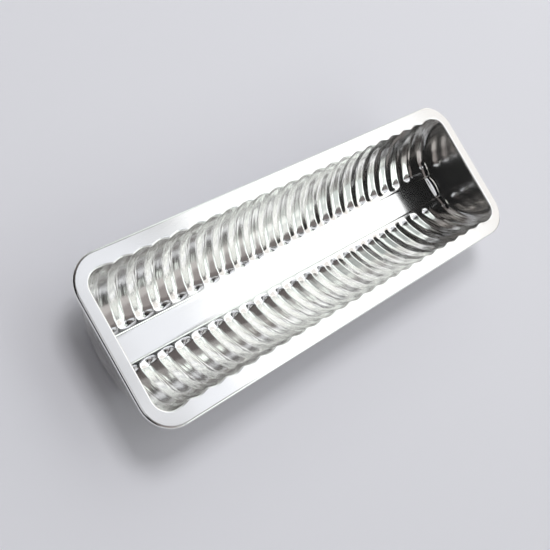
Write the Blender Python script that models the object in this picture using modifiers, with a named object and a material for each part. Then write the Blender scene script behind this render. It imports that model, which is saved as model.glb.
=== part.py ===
"""Deer back cake pan: a long half-round tin pressed from one sheet, with a wired rim.

The trough is half an oval across, ribbed square to its length, with a flat strip along its
bottom that the pan stands on. Its end walls are plain and steep. A flat flange runs round
the top, and its edge is rolled over a stiffening wire.

X runs along the pan, Y across it and Z up. The origin is under the middle of the strip.
"""

from math import asin, atan2, cos, hypot, pi, radians, sin, sqrt

import bmesh
import bpy
from mathutils import Vector

MM = 0.001

# Sheet and overall size, over the rolled rim
LENGTH = 300 * MM
WIDTH = 98 * MM
DEPTH = 36 * MM
SHEET = 0.4 * MM

# Flange, from the outside of the roll to the top of the trough
FLANGE_SIDE = 8.6 * MM
FLANGE_END = 7 * MM
FLANGE_CORNER = 18.5 * MM
MOUTH_BEND = 0.8 * MM

# Rolled rim and the wire in it
WIRE_DIAMETER = 1.0 * MM
WIRE_CLEARANCE = 0.3 * MM
ROLL_TURN = radians(270)

# Ribs: sharp ridges that stand inwards, with a straight-sided channel between two of them
RIB_PITCH = 11.85 * MM
CHANNEL_DEPTH = 1.4 * MM
CHANNEL_TIP_DEPTH = 1.8 * MM
TIP_DEPTH_UP_TO = radians(35)
CHANNEL_BOTTOM = 1.2 * MM
PLAIN_END = 17.5 * MM

# Bottom strip, a step lower than the lip that the channels end at
STRIP_WIDTH = 15.6 * MM
STRIP_STEP = 0.5 * MM
STRIP_SLOPE = 1.2 * MM

# End walls
END_DRAFT = 0.5 * MM
END_CORNER_TOP = 9.3 * MM
END_CORNER_FOOT = 3 * MM
LAST_RIB_FADE = 6 * MM

# How finely the curved faces are divided
CHANNEL_STATIONS = (0.0, 0.4, 0.5, 0.6)
WALL_ROWS = 6
TIP_ROWS = 3
BEND_ROWS = 2
END_CORNER_STEPS = 5
FLANGE_CORNER_STEPS = 6
ROLL_STEPS = 9

# What follows from the sizes above
TOP = DEPTH + SHEET
ROLL_RADIUS = WIRE_DIAMETER / 2 + WIRE_CLEARANCE + SHEET
MOUTH_HALF_WIDTH = WIDTH / 2 - FLANGE_SIDE
MOUTH_HALF_LENGTH = LENGTH / 2 - FLANGE_END
LIP_HALF_WIDTH = STRIP_WIDTH / 2 + STRIP_SLOPE
RIDGE_HALF_WIDTH = MOUTH_HALF_WIDTH - MOUTH_BEND - CHANNEL_DEPTH
LIP_DEPTH = DEPTH - STRIP_STEP - MOUTH_BEND
RIDGE_OVAL_DEPTH = LIP_DEPTH / sqrt(1 - (LIP_HALF_WIDTH / RIDGE_HALF_WIDTH) ** 2)
LIP_ANGLE = asin(LIP_HALF_WIDTH / RIDGE_HALF_WIDTH)
TIP_ANGLE = LIP_ANGLE + RIB_PITCH / 2 / RIDGE_HALF_WIDTH
CHANNEL_COUNT = int(2 * (MOUTH_HALF_LENGTH - PLAIN_END) / RIB_PITCH)
LAST_RIDGE = CHANNEL_COUNT * RIB_PITCH / 2
LAST_CHANNEL = LAST_RIDGE + RIB_PITCH / 2


def clear_scene():
    for thing in list(bpy.data.objects):
        bpy.data.objects.remove(thing, do_unlink=True)


def smooth_step(value):
    value = min(max(value, 0.0), 1.0)
    return value * value * (3 - 2 * value)


def blend(start, end, share):
    return start + (end - start) * share


def hollow(distance):
    """1 in the middle of a channel and 0 at its edge: straight flanks and a rounded bottom."""
    half_pitch = RIB_PITCH / 2
    risen = hypot(distance, CHANNEL_BOTTOM) - CHANNEL_BOTTOM
    return max(1 - risen / (hypot(half_pitch, CHANNEL_BOTTOM) - CHANNEL_BOTTOM), 0.0)


def channel_offset(x, angle):
    """How far the wall lies outside the ridges' oval, at x and at an angle up from the bottom."""
    raised = smooth_step((angle - TIP_ANGLE) / (TIP_DEPTH_UP_TO - TIP_ANGLE))
    above_tip = (angle - TIP_ANGLE) * RIDGE_HALF_WIDTH
    if x > LAST_CHANNEL:
        # The far side of the last channel opens into the plain end, except at its round tip.
        across = (x - LAST_CHANNEL) * (1 - smooth_step(above_tip / LAST_RIB_FADE))
    else:
        across = (x + LAST_CHANNEL) % RIB_PITCH
        across = min(across, RIB_PITCH - across)
    depth = blend(CHANNEL_TIP_DEPTH, CHANNEL_DEPTH, raised)
    return depth * hollow(hypot(across, min(above_tip, 0.0)))


def wall_angles():
    """Angles of the wall's rows, from the mouth down to the lip."""
    wall = [blend(pi / 2, TIP_ANGLE, row / WALL_ROWS) for row in range(WALL_ROWS)]
    tip = [blend(TIP_ANGLE, LIP_ANGLE, row / TIP_ROWS) for row in range(TIP_ROWS + 1)]
    return wall + tip


def section(x):
    """Cross section at x: points (y, z), each with its direction into the trough and its angle."""
    rows = []
    for angle in wall_angles():
        inward = Vector((-sin(angle) / RIDGE_HALF_WIDTH, cos(angle) / RIDGE_OVAL_DEPTH)).normalized()
        point = Vector((RIDGE_HALF_WIDTH * sin(angle), -MOUTH_BEND - RIDGE_OVAL_DEPTH * cos(angle)))
        rows.append((point - inward * channel_offset(x, angle), inward, angle))
    lean = atan2(STRIP_STEP, STRIP_SLOPE) / 2
    rows.append((Vector((STRIP_WIDTH / 2, -DEPTH)), Vector((-sin(lean), cos(lean))), LIP_ANGLE / 2))
    rows.append((Vector((0, -DEPTH)), Vector((0, 1)), 0.0))
    return rows


def end_corner_radius(angle):
    return blend(END_CORNER_FOOT, END_CORNER_TOP, angle / (pi / 2))


def end_wall_x(z):
    """The end wall leans in a little towards its foot."""
    return MOUTH_HALF_LENGTH - MOUTH_BEND + END_DRAFT * z / DEPTH


def mouth_bend(top_of_wall, turn):
    """Rows of the small bend from the flange's edge down to the top of the wall."""
    outward = Vector((sin(turn), cos(turn), 0)) * MOUTH_BEND
    rows = []
    for row in range(BEND_ROWS):
        swing = pi / 2 * row / BEND_ROWS
        rows.append(top_of_wall + outward * (1 - sin(swing)) + Vector((0, 0, MOUTH_BEND * cos(swing))))
    return rows


def column_at(place, turn):
    """One column of a quarter of the trough, from the flange down to the middle of the strip.

    place(angle, z) gives the column's x at a row, and turn how far it has swung round the
    corner between the side and the end wall.
    """
    wall = []
    for row, (start, inward, angle) in enumerate(section(place(pi / 2, 0))):
        point, inward, angle = section(place(angle, start.y))[row]
        radius = end_corner_radius(angle)
        point = point + inward * radius * (1 - cos(turn))
        x = place(angle, point.y) + radius * sin(turn)
        wall.append(Vector((x, point.x, point.y)))
    return mouth_bend(wall[0], turn) + wall


def corner_start(angle, z):
    return end_wall_x(z) - end_corner_radius(angle)


def trough_columns():
    """Columns of a quarter of the trough, from its middle to the far side of the end corner."""
    stations = []
    for channel in range(CHANNEL_COUNT + 1):
        stations += [LAST_RIDGE - RIB_PITCH * (channel - part) for part in CHANNEL_STATIONS]
    stations = sorted(x for x in stations if -MM / 100 < x < LAST_CHANNEL + MM / 100)
    columns = [column_at(lambda angle, z, x=x: x, 0) for x in stations]
    columns.append(column_at(lambda angle, z: (LAST_CHANNEL + corner_start(angle, z)) / 2, 0))
    for step in range(END_CORNER_STEPS + 1):
        columns.append(column_at(corner_start, pi / 2 * step / END_CORNER_STEPS))
    return columns


def rim_outline(inset):
    """A quarter of the pan's outline, inset from its edge: each point with its way out."""
    centre = Vector((LENGTH / 2 - FLANGE_CORNER, WIDTH / 2 - FLANGE_CORNER))
    radius = FLANGE_CORNER - inset
    outline = [(Vector((0, WIDTH / 2 - inset)), Vector((0, 1)))]
    for step in range(FLANGE_CORNER_STEPS + 1):
        turn = pi / 2 * step / FLANGE_CORNER_STEPS
        outward = Vector((sin(turn), cos(turn)))
        outline.append((centre + outward * radius, outward))
    outline.append((Vector((LENGTH / 2 - inset, 0)), Vector((1, 0))))
    return outline


def skin(mesh, columns):
    """Faces between neighbouring columns of vertices."""
    for here, there in zip(columns, columns[1:]):
        for row in range(len(here) - 1):
            mesh.faces.new((here[row], here[row + 1], there[row + 1], there[row]))


def quarter_shell():
    """The upper face of a quarter of the sheet, as an open surface."""
    mesh = bmesh.new()
    lift = Vector((0, 0, TOP))
    trough = [[mesh.verts.new(point + lift) for point in column] for column in trough_columns()]
    skin(mesh, trough)

    # The end wall's straight top, up to the middle of the pan
    corner = trough[-1]
    middle = [mesh.verts.new((corner[row].co.x, 0, corner[row].co.z)) for row in range(BEND_ROWS + 1)]
    skin(mesh, [corner[:BEND_ROWS + 1], middle])
    mesh.faces.new(corner[BEND_ROWS:] + [middle[-1]])

    # The roll, from the flange's top outwards, down and back under
    roll = []
    for point, outward in rim_outline(ROLL_RADIUS):
        rows = []
        for step in range(ROLL_STEPS + 1):
            swing = ROLL_TURN * step / ROLL_STEPS
            place = point + outward * ROLL_RADIUS * sin(swing)
            rows.append(mesh.verts.new((place.x, place.y, TOP - ROLL_RADIUS * (1 - cos(swing)))))
        roll.append(rows[::-1])
    skin(mesh, roll)

    # The flat flange, between the mouth and the roll
    mouth = [column[0] for column in trough] + [middle[0]]
    mesh.faces.new(mouth + [column[-1] for column in reversed(roll)])
    return mesh


def finish(thing, material, collection):
    thing.data.materials.append(material)
    collection.objects.link(thing)
    return thing


def make_material(name, colour, roughness):
    material = bpy.data.materials.new(name)
    material.use_nodes = True
    shader = material.node_tree.nodes["Principled BSDF"]
    shader.inputs["Base Color"].default_value = (*colour, 1)
    shader.inputs["Metallic"].default_value = 1
    shader.inputs["Roughness"].default_value = roughness
    return material


def pan_shell(collection):
    """The pressed tin: a quarter of its upper face, mirrored twice and given the sheet's wall."""
    mesh = quarter_shell()
    data = bpy.data.meshes.new("pan_shell")
    mesh.to_mesh(data)
    mesh.free()
    data.shade_smooth()
    data.set_sharp_from_angle(angle=radians(25))
    shell = bpy.data.objects.new("pan_shell", data)
    mirror = shell.modifiers.new("both halves", "MIRROR")
    mirror.use_axis = (True, True, False)
    mirror.merge_threshold = 0.00001
    wall = shell.modifiers.new("sheet", "SOLIDIFY")
    wall.thickness = SHEET
    wall.offset = -1
    wall.use_even_offset = True
    return finish(shell, make_material("tinplate", (0.78, 0.79, 0.78), 0.16), collection)


def rim_wire(collection):
    """The wire that the rim is rolled over, bent to a closed loop."""
    quarter = [point for point, outward in rim_outline(ROLL_RADIUS)]
    half = quarter + [Vector((point.x, -point.y)) for point in reversed(quarter[1:-1])]
    loop = half + [Vector((0, -quarter[0].y))]
    loop += [Vector((-point.x, point.y)) for point in reversed(half[1:])]
    curve = bpy.data.curves.new("rim_wire", "CURVE")
    curve.dimensions = "3D"
    curve.bevel_depth = WIRE_DIAMETER / 2
    curve.bevel_resolution = 2
    spline = curve.splines.new("POLY")
    spline.points.add(len(loop) - 1)
    for knot, point in zip(spline.points, loop):
        knot.co = (point.x, point.y, TOP - ROLL_RADIUS, 1)
    spline.use_cyclic_u = True
    wire = bpy.data.objects.new("rim_wire", curve)
    return finish(wire, make_material("steel wire", (0.42, 0.43, 0.44), 0.35), collection)


def main():
    clear_scene()
    collection = bpy.data.collections.new("deer_back_cake_pan")
    bpy.context.scene.collection.children.link(collection)
    pan_shell(collection)
    rim_wire(collection)


main()
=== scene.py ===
"""Looks of the deer back cake pan: bright tinplate on a pale floor, in soft studio light."""

from math import asin, atan, cos, hypot, pi, radians, sin, sqrt

import bpy
from mathutils import Matrix, Vector


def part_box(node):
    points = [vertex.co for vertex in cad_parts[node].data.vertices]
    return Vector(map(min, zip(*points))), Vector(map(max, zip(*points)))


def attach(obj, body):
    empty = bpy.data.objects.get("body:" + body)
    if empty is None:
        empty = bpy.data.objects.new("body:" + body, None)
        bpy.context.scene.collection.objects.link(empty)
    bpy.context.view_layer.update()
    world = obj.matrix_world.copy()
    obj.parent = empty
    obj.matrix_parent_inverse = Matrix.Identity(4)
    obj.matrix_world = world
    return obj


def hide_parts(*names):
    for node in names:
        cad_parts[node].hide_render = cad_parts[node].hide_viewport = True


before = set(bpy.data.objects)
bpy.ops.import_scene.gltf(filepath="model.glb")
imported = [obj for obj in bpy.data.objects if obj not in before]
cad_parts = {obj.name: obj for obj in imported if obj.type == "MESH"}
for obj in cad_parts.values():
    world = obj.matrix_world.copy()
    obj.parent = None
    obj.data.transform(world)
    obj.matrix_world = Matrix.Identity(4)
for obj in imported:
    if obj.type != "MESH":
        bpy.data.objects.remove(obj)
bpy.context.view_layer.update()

MM = 0.001

# The pan's outside and top, from the frame
HALF_LENGTH, HALF_WIDTH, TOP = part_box("pan_shell")[1]

# Sheet, flange and rolled rim
SHEET = 0.4 * MM
FLANGE_SIDE = 8.6 * MM
FLANGE_END = 7 * MM
FLANGE_CORNER = 18.5 * MM
MOUTH_BEND = 0.8 * MM
ROLL_RADIUS = 1.2 * MM
ROLL_TURN = radians(270)

# Ribs: channels pressed outwards, with a ridge between each two. Their round lower tips begin at
# CHANNEL_TIP_FROM from the pan's middle line. They are a little deeper there, and have their plain
# depth from PLAIN_DEPTH_FROM on, an angle up from the bottom.
RIB_PITCH = 11.85 * MM
CHANNEL_DEPTH = 1.4 * MM
CHANNEL_TIP_DEPTH = 1.8 * MM
PLAIN_DEPTH_FROM = radians(35)
CHANNEL_BOTTOM = 2.5 * MM
CHANNEL_TIP_FROM = 13.6 * MM
CHANNEL_TIP_LENGTH = 3.8 * MM
CHANNEL_COUNT = 21
RIDGE_SOFTNESS = 0.5 * MM
LAST_RIB_FADE = 6 * MM

# Bottom strip and end walls. The strip's round end is the nose.
STRIP_WIDTH = 15.6 * MM
STRIP_STEP = 0.5 * MM
STRIP_SLOPE = 1.2 * MM
END_DRAFT = 0.5 * MM
END_CORNER_TOP = 9.3 * MM
END_CORNER_FOOT = 3 * MM
END_CORNER_STRIP = 7 * MM
NOSE_RADIUS = STRIP_WIDTH / 2
NOSE_DEPTH = 2 * MM

# How finely the sheet is divided. Stations lie between a ridge, 0, and the middle of a channel, 1.
# Flange shares run from the roll to the mouth, and end shares from a corner to the end's middle.
CHANNEL_STATIONS = (0.0, 0.04, 0.09, 0.18, 0.5, 0.72, 0.84, 0.93, 1.0)
ROLL_ROWS = 10
FLANGE_SHARES = (0.0, 0.06, 0.5, 0.94)
BEND_ROWS = 4
RIM_ROWS = ROLL_ROWS + len(FLANGE_SHARES) + BEND_ROWS
WALL_ROWS = 20
TIP_ROWS = 12
STEP_ROWS = 4
STRIP_ROWS = 4
CORNER_COLUMNS = 10
END_SHARES = (0.04, 0.1, 0.17, 0.25, 0.4, 0.6, 0.8, 1.0)
PLACE_DIGITS = 7
MERGE_WITHIN = 0.01 * MM
SHARP_ABOVE = radians(50)

# The tin's finish. Heights are above the floor, and most of a noise lies in NOISE_SPREAD.
TIN_ROUGHNESS = (0.1, 0.15)
CLOUD_WIDTH = 33.3 * MM
NOISE_SPREAD = (0.3, 0.7)
SCOURED_ROUGHNESS = 0.03
SCOURED_HEIGHTS = (6 * MM, 18 * MM)
WAVE_WIDTH = 22.2 * MM
WAVE_HEIGHT = 0.02 * MM

# The real drawing lines lie closer together than the render can show, so these are coarser.
LINE_SPACING = 1.11 * MM
LINE_LENGTH = 71.4 * MM
LINE_DEPTH = 0.03 * MM
LINES_START = (2 * MM, 8 * MM)
LINES_STOP = (35 * MM, 32 * MM)

# The wire's and the paper's finish
WIRE_ROUGHNESS = (0.28, 0.45)
SPOT_WIDTH = 2.5 * MM
PAPER_ROUGHNESS = 0.9
# How far round the pan the floor's glow is taken away, as painted contact shade
PAINTED_SHADE_REACH = 90 * MM

# The photo's camera: where it stands and looks, from the middle of the mouth
CAMERA_PLACE = (-294.9 * MM, -22.05 * MM, 361.2 * MM)
CAMERA_TARGET = (-42.70 * MM, -4.67 * MM, 0)
CAMERA_TURN = radians(57.09)
CAMERA_LENS = 52
CAMERA_SENSOR = 36
CAMERA_SHIFT = -0.0009
CAMERA_NEAR = 10 * MM

# The floor and the low wall round it, in metres, and how much lighter than lit they look
FLOOR_SIZE = 9
FLOOR_LIFT = 0.12
WALL_DISTANCE = 3.6
WALL_HEIGHT = 0.5
WALL_SIDES = 96
WALL_LIFT = 0.6

# The studio: soft lamps all at one distance from the pan. For each its name, the degrees that it
# spans round the pan from +X and above the floor, how bright it looks and its colour. A span that
# is higher than it is wide gets a square lamp.
ROOM_LIGHT = 0.012
LAMP_DISTANCE = 2.5
LAMPS = (
    ("window", -36, 36, 39.5, 62, 1.35, "#FCFDFF"),
    ("window foot", -36, 36, 20, 39.5, 0.95, "#FFFBF8"),
    ("window sill", -12, 36, 6, 20, 1.2, "#FFFDFA"),
    ("window head", -24, 56, 62, 70.5, 1.0, "#F6F8FF"),
    ("window top", -24, 60, 70.5, 79, 0.66, "#F4F5FA"),
    ("window edge", -46, -24, 62, 79, 0.5, "#F4F5FA"),
    ("right wall", -54, -36, 20, 52, 1.0, "#F4FAF8"),
    ("right wall side", -72, -54, 20, 50, 0.75, "#F0F8F5"),
    ("right wall foot", -72, -36, 6, 20, 0.5, "#F6FAF8"),
    ("left wall", 36, 54, 20, 52, 0.85, "#F4FAF8"),
    ("left wall side", 54, 72, 20, 48, 0.4, "#F0F8F5"),
    ("left wall foot", 36, 72, 6, 20, 0.7, "#F6FAF8"),
    ("right side", -125, -72, 17, 36, 0.6, "#F4EEEC"),
    ("right side top", -125, -72, 36, 53, 0.36, "#F2E8E6"),
    ("left side", 72, 115, 17, 35, 0.34, "#F4EEEC"),
    ("left side top", 72, 110, 35, 62, 0.14, "#F4E6E4"),
    ("right ceiling", -135, -45, 53, 78, 0.2, "#F4E6E4"),
    ("left ceiling", 62, 135, 62, 80, 0.1, "#F4E4E2"),
    ("back ceiling", 150, 210, 62, 84, 0.85, "#F6F8FF"),
    ("ceiling", -180, 180, 84, 96, 0.6, "#FFFFFF"),
)

# A key lamp for the floor only: it throws the pan's shadow and isn't mirrored in the tin.
FLOOR_KEY = ("floor key", 60, 100, 55, 75, 11, "#FDFDFF")

# What follows from the sizes above. The ridges lie on an oval, which ends at the strip's lip.
DEPTH = TOP - SHEET
RIDGE_HALF_WIDTH = HALF_WIDTH - FLANGE_SIDE - MOUTH_BEND - CHANNEL_DEPTH
LIP_HALF_WIDTH = STRIP_WIDTH / 2 + STRIP_SLOPE
LIP_DEPTH = DEPTH - STRIP_STEP - MOUTH_BEND
RIDGE_OVAL_DEPTH = LIP_DEPTH / sqrt(1 - (LIP_HALF_WIDTH / RIDGE_HALF_WIDTH) ** 2)
LIP_ANGLE = asin(LIP_HALF_WIDTH / RIDGE_HALF_WIDTH)
TIP_ANGLE = asin(CHANNEL_TIP_FROM / RIDGE_HALF_WIDTH)
LAST_CHANNEL = (CHANNEL_COUNT + 1) * RIB_PITCH / 2
END_SLOPE = END_DRAFT / DEPTH


def smooth_step(value):
    value = min(max(value, 0.0), 1.0)
    return value * value * (3 - 2 * value)


def blend(start, end, share):
    return start + (end - start) * share


def soft_ramp(value):
    """Zero below 0 and the value itself above it, with a rounded foot."""
    softness = 4 * RIDGE_SOFTNESS / RIB_PITCH
    return (value + sqrt(value * value + softness ** 2)) / 2


def hollow(distance):
    """1 in the middle of a channel and 0 at its edge: straight flanks and a rounded bottom."""
    risen = hypot(distance, CHANNEL_BOTTOM) - CHANNEL_BOTTOM
    return 1 - risen / (hypot(RIB_PITCH / 2, CHANNEL_BOTTOM) - CHANNEL_BOTTOM)


def channel_offset(x, angle):
    """How far the wall lies outside the ridges' oval, at x and at an angle up from the bottom."""
    raised = smooth_step((angle - TIP_ANGLE) / (PLAIN_DEPTH_FROM - TIP_ANGLE))
    above_tip = (angle - TIP_ANGLE) * RIDGE_HALF_WIDTH
    nearest = max(min(round((LAST_CHANNEL - x) / RIB_PITCH), CHANNEL_COUNT + 1), 0)
    share = 0.0
    for channel in range(max(nearest - 1, 0), nearest + 2):
        across = x - LAST_CHANNEL + channel * RIB_PITCH
        if channel == 0 and across > 0:
            # The far side of the last channel opens into the plain end, except at its round tip.
            across *= 1 - smooth_step(above_tip / LAST_RIB_FADE)
        beyond = min(above_tip, 0.0) * RIB_PITCH / 2 / CHANNEL_TIP_LENGTH
        share += soft_ramp(hollow(hypot(across, beyond)))
    return blend(CHANNEL_TIP_DEPTH, CHANNEL_DEPTH, raised) * min(share, 1.0)


def wall_angles():
    """Angles of the wall's rows, from the mouth down to the lip of the strip."""
    wall = [blend(pi / 2, TIP_ANGLE, row / WALL_ROWS) for row in range(WALL_ROWS)]
    tip = [blend(TIP_ANGLE, LIP_ANGLE, row / TIP_ROWS) for row in range(TIP_ROWS + 1)]
    return wall + tip


def section(x):
    """Cross section at x: (y, z) points, each with its way into the trough and its angle."""
    rows = []
    for angle in wall_angles():
        inward = Vector((-sin(angle) / RIDGE_HALF_WIDTH, cos(angle) / RIDGE_OVAL_DEPTH)).normalized()
        point = Vector((RIDGE_HALF_WIDTH * sin(angle), -MOUTH_BEND - RIDGE_OVAL_DEPTH * cos(angle)))
        rows.append((point - inward * channel_offset(x, angle), inward, angle))
    lip, lip_inward, lip_angle = rows[-1]
    for row in range(1, STEP_ROWS + 1):
        share = row / STEP_ROWS
        y = blend(LIP_HALF_WIDTH, STRIP_WIDTH / 2, share)
        z = blend(lip.y, -DEPTH, smooth_step(share))
        inward = lip_inward.lerp(Vector((0, 1)), share).normalized()
        rows.append((Vector((y, z)), inward, lip_angle * (1 - share / 2)))
    for row in range(1, STRIP_ROWS + 1):
        share = 1 - row / STRIP_ROWS
        rows.append((Vector((STRIP_WIDTH / 2 * share, -DEPTH)), Vector((0, 1)), lip_angle / 2 * share))
    return rows


SECTIONS = {}


def section_at(x):
    """The cross section at x, worked out once."""
    key = round(x, PLACE_DIGITS)
    if key not in SECTIONS:
        SECTIONS[key] = section(x)
    return SECTIONS[key]


def end_wall_x(z):
    """The end wall leans in a little towards its foot."""
    return HALF_LENGTH - FLANGE_END - MOUTH_BEND + END_SLOPE * z


def nose(y, z):
    """How far the strip's round end pushes the foot of the end wall out."""
    reach = hypot(y, z + DEPTH) / NOSE_RADIUS
    return NOSE_DEPTH * max(1 - reach * reach, 0.0) ** 1.5


def side_column(x):
    """One column of the trough's wall at x, from the mouth to the middle of the strip."""
    return [Vector((x, point.x, point.y)) for point, inward, angle in section_at(x)]


def corner_column(turn_share):
    """One column of the bend between side and end, turned part of the way to the end wall.

    Each row turns about its own radius, from where its bend has to start to meet the end wall.
    """
    points = []
    for row, (point, inward, angle) in enumerate(section_at(LAST_CHANNEL)):
        # The bend at the foot of the wall is wider where the strip ends.
        radius = blend(END_CORNER_FOOT, END_CORNER_TOP, angle / (pi / 2))
        radius = blend(radius, END_CORNER_STRIP, nose(point.x, -DEPTH) / NOSE_DEPTH)
        full_turn = pi / 2 - atan(END_SLOPE * inward.y)
        foot = point.y + inward.y * radius * (1 - cos(full_turn))
        start = end_wall_x(foot) - radius * sin(full_turn)
        turn = full_turn * turn_share
        point, inward, angle = section_at(start)[row]
        point = point + inward * radius * (1 - cos(turn))
        x = start + radius * sin(turn) + nose(point.x, point.y)
        points.append(Vector((x, point.x, point.y)))
    return points


def mouth_and_rim(top_of_wall, rim, turn):
    """One column from the tucked end of the roll, over the flange, to the top of the wall."""
    outward = Vector((sin(turn), cos(turn), 0))
    down = Vector((0, 0, -1))
    points = []
    for row in range(ROLL_ROWS, 0, -1):
        swing = ROLL_TURN * row / ROLL_ROWS
        points.append(rim + ROLL_RADIUS * (outward * sin(swing) + down * (1 - cos(swing))))
    mouth = top_of_wall + MOUTH_BEND * (outward - down)
    points += [rim.lerp(mouth, share) for share in FLANGE_SHARES]
    for row in range(BEND_ROWS):
        swing = pi / 2 * row / BEND_ROWS
        points.append(top_of_wall + MOUTH_BEND * (outward * (1 - sin(swing)) - down * cos(swing)))
    return points


def side_stations():
    """Places along a side, from the pan's middle to the last channel, closest at the ridges."""
    stations = [0.0]
    for channel in range(CHANNEL_COUNT + 1):
        centre = LAST_CHANNEL - channel * RIB_PITCH
        for share in CHANNEL_STATIONS:
            away = RIB_PITCH / 2 * (1 - share)
            stations += [centre - away, centre + away]
    rounded = set(round(x, PLACE_DIGITS) for x in stations)
    return sorted(x for x in rounded if 0 <= x <= round(LAST_CHANNEL, PLACE_DIGITS))


def sheet_columns():
    """A quarter of the sheet, as columns of points from the middle of a side to that of an end."""
    columns = []
    for x in side_stations():
        wall = side_column(x)
        rim = Vector((x, HALF_WIDTH - ROLL_RADIUS, 0))
        columns.append(mouth_and_rim(wall[0], rim, 0) + wall)
    rim_centre = Vector((HALF_LENGTH - FLANGE_CORNER, HALF_WIDTH - FLANGE_CORNER, 0))
    for step in range(CORNER_COLUMNS + 1):
        share = step / CORNER_COLUMNS
        turn = pi / 2 * share
        wall = corner_column(share)
        rim = rim_centre + (FLANGE_CORNER - ROLL_RADIUS) * Vector((sin(turn), cos(turn), 0))
        columns.append(mouth_and_rim(wall[0], rim, turn) + wall)
    corner = columns[-1]
    top_middle = Vector((corner[RIM_ROWS].x, 0, corner[RIM_ROWS].z))
    for share in END_SHARES:
        # Along the rim the columns close up on the middle, and below it they fan out from there.
        column = [Vector((point.x, point.y * (1 - share), point.z)) for point in corner[:RIM_ROWS]]
        for point in corner[RIM_ROWS:]:
            place = point.lerp(top_middle, share)
            column.append(Vector((end_wall_x(place.z) + nose(place.y, place.z), place.y, place.z)))
        columns.append(column)
    return columns


def pan_shell():
    """The pressed tin: a flat grid drawn into shape, mirrored twice and given the sheet's wall."""
    columns = sheet_columns()
    across = len(columns)
    down = len(columns[0])
    bpy.ops.object.select_all(action="DESELECT")
    bpy.ops.mesh.primitive_grid_add(x_subdivisions=across - 1, y_subdivisions=down - 1, size=1)
    shell = bpy.context.object
    shell.name = "tin_shell"

    # The grid is 1 wide and lies round the origin, so a vertex's place tells its column and row.
    lift = Vector((0, 0, TOP))
    for vertex in shell.data.vertices:
        column = round((vertex.co.x + 0.5) * (across - 1))
        row = round((0.5 - vertex.co.y) * (down - 1))
        vertex.co = columns[column][row] + lift
    bpy.ops.object.mode_set(mode="EDIT")
    bpy.ops.mesh.select_all(action="SELECT")
    bpy.ops.mesh.remove_doubles(threshold=MERGE_WITHIN)
    bpy.ops.mesh.normals_make_consistent(inside=False)
    bpy.ops.object.mode_set(mode="OBJECT")

    mirror = shell.modifiers.new("both halves", "MIRROR")
    mirror.use_axis = (True, True, False)
    mirror.use_clip = True
    mirror.merge_threshold = MERGE_WITHIN
    wall = shell.modifiers.new("sheet", "SOLIDIFY")
    wall.thickness = SHEET
    wall.offset = -1
    wall.use_even_offset = True
    for modifier in ("both halves", "sheet"):
        bpy.ops.object.modifier_apply(modifier=modifier)
    bpy.ops.object.shade_smooth_by_angle(angle=SHARP_ABOVE)
    return shell


def srgb(code):
    """A hex sRGB colour as linear red, green, blue and 1."""
    values = [int(code[place:place + 2], 16) / 255 for place in (1, 3, 5)]
    return tuple(v / 12.92 if v <= 0.04045 else ((v + 0.055) / 1.055) ** 2.4 for v in values) + (1,)


def add_node(owner, kind, settings=None, values=None, links=None):
    """Adds a node, with its settings, its sockets' values and the links that come into it."""
    node = owner.node_tree.nodes.new(kind)
    for name, value in (settings or {}).items():
        setattr(node, name, value)
    for name, value in (values or {}).items():
        node.inputs[name].default_value = value
    for name, source in (links or {}).items():
        owner.node_tree.links.new(source, node.inputs[name])
    return node


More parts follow.
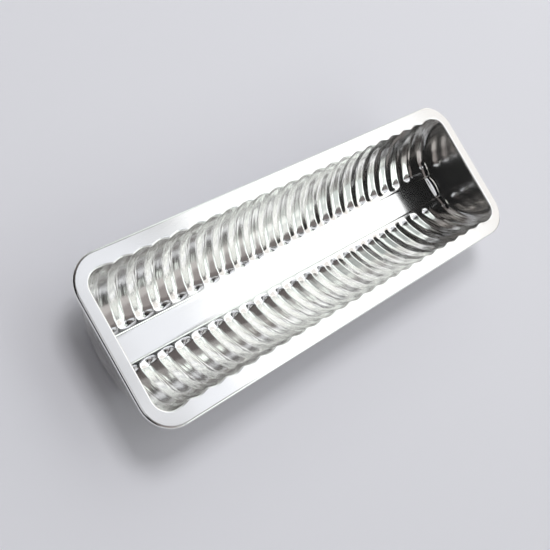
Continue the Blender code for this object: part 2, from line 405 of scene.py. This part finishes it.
def tinplate():
    """Bright tinplate, deep drawn.

    It gives the eye a pale mirror, a little soft, whose reflections waver on the uneven sheet. On
    the ribs it is softer still, with fine lines from the drawing.
    """
    material = bpy.data.materials.new("bright drawn tinplate")
    material.use_nodes = True
    shader = material.node_tree.nodes["Principled BSDF"]
    shader.inputs["Base Color"].default_value = srgb("#F6F6F4")
    shader.inputs["Metallic"].default_value = 1
    place = add_node(material, "ShaderNodeTexCoord").outputs["Object"]
    height = add_node(material, "ShaderNodeSeparateXYZ", links={0: place}).outputs["Z"]

    # Gloss that comes and goes in soft clouds
    clouds = add_node(material, "ShaderNodeTexNoise", {}, {"Scale": 1 / CLOUD_WIDTH, "Detail": 2},
                      {"Vector": place})
    gloss = add_node(material, "ShaderNodeMapRange", {},
                     {"From Min": NOISE_SPREAD[0], "From Max": NOISE_SPREAD[1],
                      "To Min": TIN_ROUGHNESS[0], "To Max": TIN_ROUGHNESS[1]},
                     {"Value": clouds.outputs["Fac"]})

    # Softer on the ribs, where the drawing has scoured the tin
    scoured = add_node(material, "ShaderNodeMapRange", {},
                       {"From Min": SCOURED_HEIGHTS[0], "From Max": SCOURED_HEIGHTS[1],
                        "To Min": 0, "To Max": SCOURED_ROUGHNESS},
                       {"Value": height})
    roughness = add_node(material, "ShaderNodeMath", {"operation": "ADD"}, {},
                         {0: gloss.outputs[0], 1: scoured.outputs[0]})
    material.node_tree.links.new(roughness.outputs[0], shader.inputs["Roughness"])

    # Sheet that isn't quite even, so that reflections waver
    waves = add_node(material, "ShaderNodeTexNoise", {}, {"Scale": 1 / WAVE_WIDTH, "Detail": 1},
                     {"Vector": place})
    uneven = add_node(material, "ShaderNodeBump", {}, {"Strength": 1, "Distance": WAVE_HEIGHT},
                      {"Height": waves.outputs["Fac"]})

    # Fine lines along the ribs, left by the drawing of the sheet; none on the strip or the flange
    stretched = add_node(material, "ShaderNodeMapping", {},
                         {"Scale": (1 / LINE_SPACING, 1 / LINE_LENGTH, 1 / LINE_LENGTH)},
                         {"Vector": place})
    lines = add_node(material, "ShaderNodeTexNoise", {}, {"Scale": 1, "Detail": 1},
                     {"Vector": stretched.outputs[0]})
    above_strip = add_node(material, "ShaderNodeMapRange", {},
                           {"From Min": LINES_START[0], "From Max": LINES_START[1]},
                           {"Value": height})
    below_flange = add_node(material, "ShaderNodeMapRange", {},
                            {"From Min": LINES_STOP[0], "From Max": LINES_STOP[1]},
                            {"Value": height})
    drawn = add_node(material, "ShaderNodeMath", {"operation": "MULTIPLY"}, {},
                     {0: above_strip.outputs[0], 1: below_flange.outputs[0]})
    relief = add_node(material, "ShaderNodeMath", {"operation": "MULTIPLY"}, {},
                      {0: lines.outputs["Fac"], 1: drawn.outputs[0]})
    drawing = add_node(material, "ShaderNodeBump", {}, {"Strength": 1, "Distance": LINE_DEPTH},
                       {"Height": relief.outputs[0], "Normal": uneven.outputs[0]})
    material.node_tree.links.new(drawing.outputs[0], shader.inputs["Normal"])
    return material


def steel_wire():
    """Drawn steel wire.

    It gives the eye a grey, duller metal than the tin, with spots where the drawing grease stayed.
    """
    material = bpy.data.materials.new("drawn steel wire")
    material.use_nodes = True
    shader = material.node_tree.nodes["Principled BSDF"]
    shader.inputs["Base Color"].default_value = srgb("#A6A7A9")
    shader.inputs["Metallic"].default_value = 1
    place = add_node(material, "ShaderNodeTexCoord").outputs["Object"]
    spots = add_node(material, "ShaderNodeTexNoise", {}, {"Scale": 1 / SPOT_WIDTH, "Detail": 2},
                     {"Vector": place})
    dullness = add_node(material, "ShaderNodeMapRange", {},
                        {"To Min": WIRE_ROUGHNESS[0], "To Max": WIRE_ROUGHNESS[1]},
                        {"Value": spots.outputs["Fac"]})
    material.node_tree.links.new(dullness.outputs[0], shader.inputs["Roughness"])
    return material


def matt_paper(name):
    """Matt white paper: an even pale tone with no shine. Its glow is set where it is used."""
    material = bpy.data.materials.new(name)
    material.use_nodes = True
    shader = material.node_tree.nodes["Principled BSDF"]
    shader.inputs["Base Color"].default_value = srgb("#DADADF")
    shader.inputs["Roughness"].default_value = PAPER_ROUGHNESS
    shader.inputs["Emission Color"].default_value = srgb("#F0F0F5")
    return material


def seen_directly(material):
    """1 for what the camera sees by itself, mirrored in metal or through glass, and else 0."""
    seen = add_node(material, "ShaderNodeLightPath").outputs
    mirrored = add_node(material, "ShaderNodeMath", {"operation": "MAXIMUM"},
                        links={0: seen["Is Camera Ray"], 1: seen["Is Glossy Ray"]}).outputs[0]
    return add_node(material, "ShaderNodeMath", {"operation": "MAXIMUM"},
                    links={0: mirrored, 1: seen["Is Transmission Ray"]}).outputs[0]


def floor():
    """A wide sheet of paper, which looks a little lighter than the lamps make it, except close to the
    pan, where painted shade takes that lift away.
    """
    bpy.ops.object.select_all(action="DESELECT")
    bpy.ops.mesh.primitive_plane_add(size=FLOOR_SIZE)
    plane = bpy.context.object
    plane.name = "floor"
    material = matt_paper("matt paper floor")
    shader = material.node_tree.nodes["Principled BSDF"]

    # Close to the pan an ambient occlusion factor takes the floor's glow away. This paints shade round
    # where it stands, on top of the lamps' own shadow.
    painted_shade_factor = add_node(material, "ShaderNodeAmbientOcclusion", {"samples": 8},
                          {"Distance": PAINTED_SHADE_REACH}).outputs["AO"]
    shade = add_node(material, "ShaderNodeMath", {"operation": "MULTIPLY"}, {},
                     {0: seen_directly(material), 1: painted_shade_factor})
    lift = add_node(material, "ShaderNodeMath", {"operation": "MULTIPLY"}, {1: FLOOR_LIFT},
                    {0: shade.outputs[0]})
    material.node_tree.links.new(lift.outputs[0], shader.inputs["Emission Strength"])
    plane.data.materials.append(material)


def backdrop():
    """A low pale wall all round, behind the lamps, so that a low view doesn't end in black."""
    bpy.ops.object.select_all(action="DESELECT")
    bpy.ops.mesh.primitive_cylinder_add(vertices=WALL_SIDES, radius=WALL_DISTANCE, depth=WALL_HEIGHT,
                                        end_fill_type="NOTHING", location=(0, 0, WALL_HEIGHT / 2))
    wall = bpy.context.object
    wall.name = "backdrop"
    bpy.ops.object.shade_smooth()
    material = matt_paper("matt paper wall")
    shader = material.node_tree.nodes["Principled BSDF"]
    lift = add_node(material, "ShaderNodeMath", {"operation": "MULTIPLY"}, {1: WALL_LIFT},
                    {0: seen_directly(material)})
    material.node_tree.links.new(lift.outputs[0], shader.inputs["Emission Strength"])
    wall.data.materials.append(material)


def room():
    """The room's own dim light, which every surface gets."""
    world = bpy.data.worlds.new("room")
    bpy.context.scene.world = world
    world.use_nodes = True
    background = world.node_tree.nodes["Background"]
    background.inputs["Color"].default_value = srgb("#F6F6FA")
    background.inputs["Strength"].default_value = ROOM_LIGHT


def direction(azimuth, elevation):
    """A unit vector, by its angle round from +X towards +Y and its angle up, in degrees."""
    level = cos(radians(elevation))
    turn = radians(azimuth)
    return Vector((level * cos(turn), level * sin(turn), sin(radians(elevation))))


def softbox(name, left, right, low, high, radiance, colour):
    """A lamp, at least as wide as it is high, that faces the pan and looks as bright as radiance."""
    middle = (low + high) / 2
    height = 2 * LAMP_DISTANCE * sin(radians((high - low) / 2))
    width = 2 * LAMP_DISTANCE * sin(radians((right - left) / 2)) * cos(radians(middle))
    data = bpy.data.lights.new(name, "AREA")
    data.shape = "RECTANGLE"
    data.size = max(width, height)
    data.size_y = height
    data.energy = radiance * pi * data.size * data.size_y
    data.color = srgb(colour)[:3]
    lamp = bpy.data.objects.new(name, data)
    bpy.context.scene.collection.objects.link(lamp)
    lamp.location = direction((left + right) / 2, middle) * LAMP_DISTANCE
    lamp.rotation_euler = lamp.location.to_track_quat("Z", "Y").to_euler()
    return lamp


def camera():
    """The photo's view: from above the near end, turned so that the pan runs up to the right."""
    data = bpy.data.cameras.new("camera")
    data.lens = CAMERA_LENS
    data.sensor_width = CAMERA_SENSOR
    data.shift_x = CAMERA_SHIFT
    data.clip_start = CAMERA_NEAR
    eye = bpy.data.objects.new("camera", data)
    bpy.context.scene.collection.objects.link(eye)
    mouth = Vector((0, 0, TOP))
    forward = (Vector(CAMERA_TARGET) - Vector(CAMERA_PLACE)).normalized()
    level = forward.cross(Vector((0, 0, 1))).normalized()
    right = cos(CAMERA_TURN) * level + sin(CAMERA_TURN) * level.cross(forward)
    eye.matrix_world = Matrix((right, right.cross(forward), -forward)).transposed().to_4x4()
    eye.location = mouth + Vector(CAMERA_PLACE)
    bpy.context.scene.camera = eye


shell = pan_shell()
shell.data.materials.clear()
shell.data.materials.append(tinplate())
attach(shell, "root")
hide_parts("pan_shell")

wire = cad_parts["rim_wire"]
wire.data.materials.clear()
wire.data.materials.append(steel_wire())

floor()
backdrop()
room()
for lamp in LAMPS:
    softbox(*lamp)
softbox(*FLOOR_KEY).visible_glossy = False
camera()
bpy.context.scene.view_settings.view_transform = "Standard"
